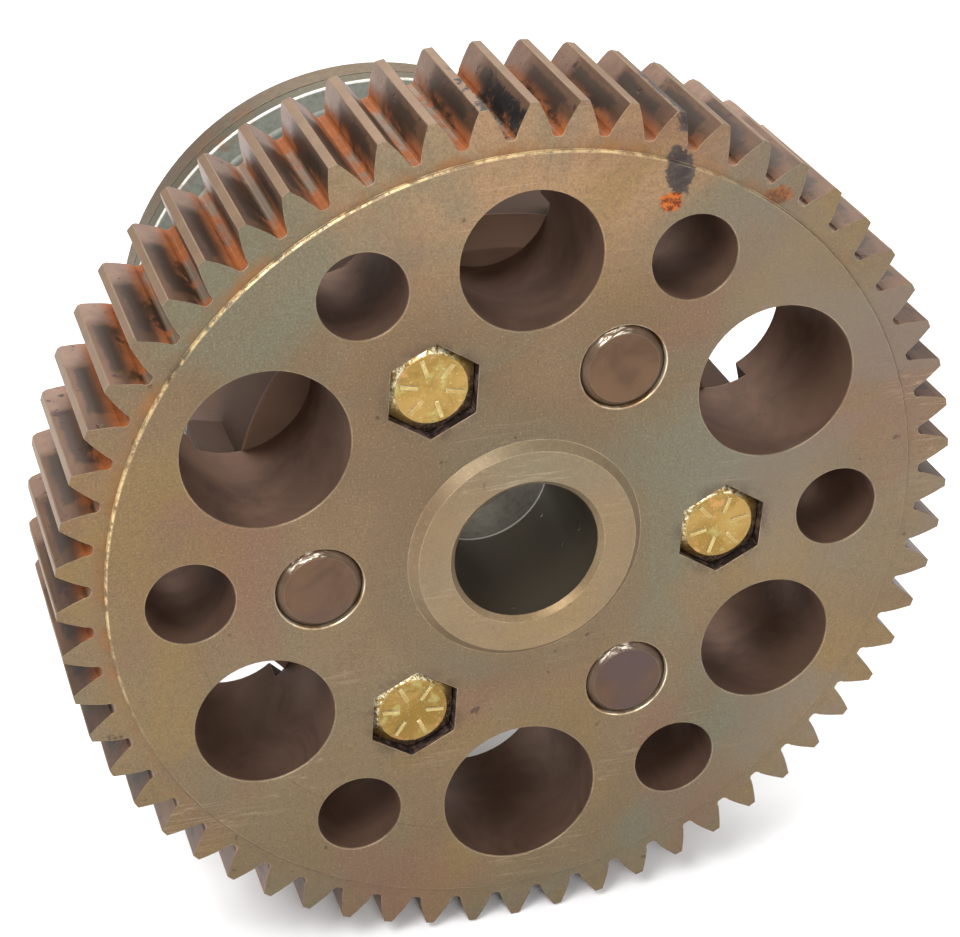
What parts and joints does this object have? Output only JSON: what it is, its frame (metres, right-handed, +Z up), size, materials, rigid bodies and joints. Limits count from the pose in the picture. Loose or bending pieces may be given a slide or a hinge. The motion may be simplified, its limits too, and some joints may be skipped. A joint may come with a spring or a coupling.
{
  "type": "spur gear",
  "caption": "Large spur gear with lightening holes, a raised boss and shaft bore, bolted and dowelled to a flanged hub behind it.",
  "frame": {"origin": "on the gear axis in the plane of the machined front face", "axes": "+Y along the gear axis from the front face towards the hub, +Z up through a small lightening hole, +X to the right of someone facing the front"},
  "size_m": [0.315, 0.2164, 0.315],
  "materials": {
    "oiled_steel": "oiled, worn, rust in the roots",
    "cast_hub": "rough, oily",
    "yellow_zinc": "yellow zinc plate",
    "dark_steel": "ground, stained dark"
  },
  "bodies": {
    "root": {"spur_gear": "oiled_steel", "hub_drum": "cast_hub", "hex_bolt_1": "yellow_zinc", "hex_bolt_2": "yellow_zinc", "hex_bolt_3": "yellow_zinc", "dowel_pin_1": "dark_steel", "dowel_pin_2": "dark_steel", "dowel_pin_3": "dark_steel"}
  },
  "joints": []
}
